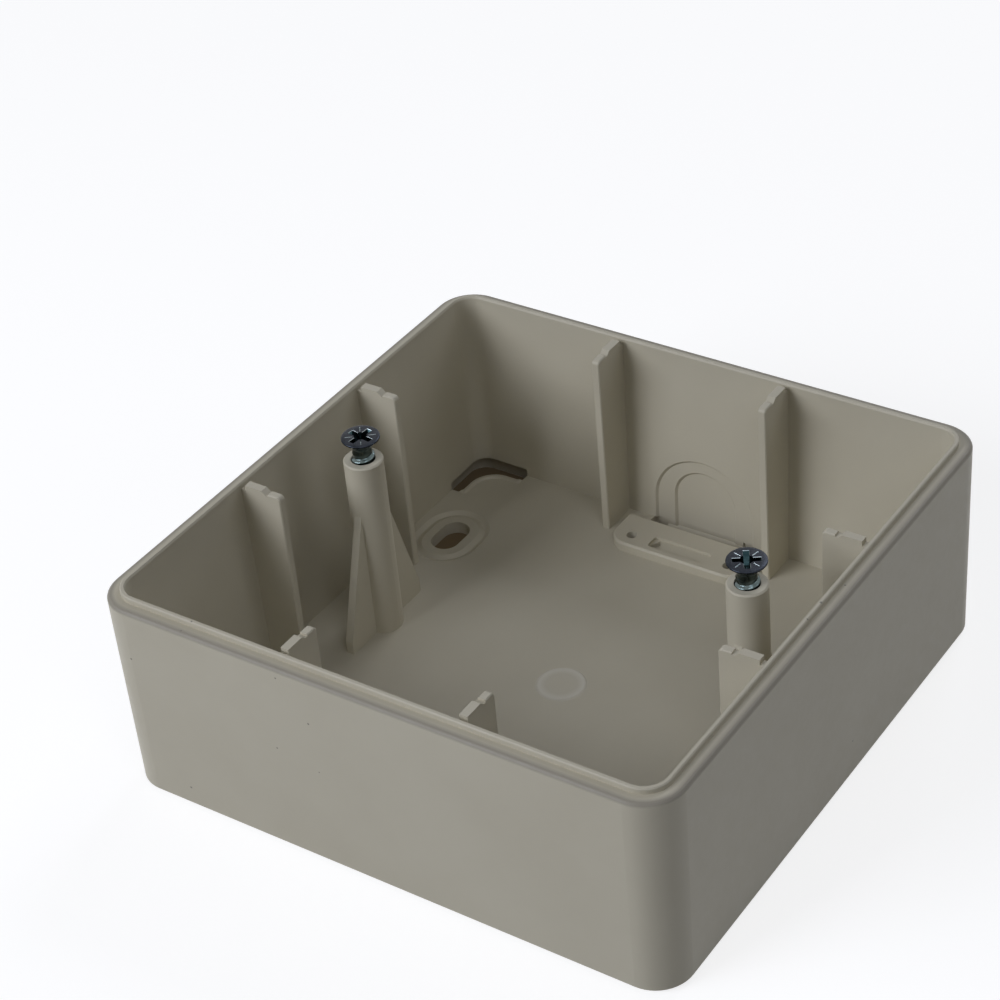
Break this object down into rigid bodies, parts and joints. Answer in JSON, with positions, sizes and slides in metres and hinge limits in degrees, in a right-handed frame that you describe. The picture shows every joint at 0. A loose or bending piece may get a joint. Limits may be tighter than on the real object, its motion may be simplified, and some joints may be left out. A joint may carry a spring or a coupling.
{
  "type": "surface mount box",
  "caption": "Shallow square surface back box in drafted ivory plastic with a stepped rim, wall fins, gusseted screw posts and countersunk lid screws.",
  "frame": {"origin": "centre of the underside, on the wall or table that the box stands on", "axes": "+Z out of the wall, through the open side; +X and -X are the walls beside the screw posts; the cable entry is in the -X +Y corner"},
  "size_m": [0.086, 0.086, 0.0344],
  "materials": {
    "moulding": "ivory moulded plastic, fine satin grain",
    "screw": "blue-grey zinc plated steel"
  },
  "bodies": {
    "housing": {"box": "moulding"},
    "lid_screw_left": {"screw_left": "screw"},
    "lid_screw_right": {"screw_right": "screw"}
  },
  "joints": [
    {"name": "screw_left_travel", "type": "slide", "parent": "housing", "child": "lid_screw_left", "axis": [0, 0, 1], "range_m": [-0.0024, 0.012]},
    {"name": "screw_right_travel", "type": "slide", "parent": "housing", "child": "lid_screw_right", "axis": [0, 0, 1], "range_m": [-0.0024, 0.012]}
  ]
}
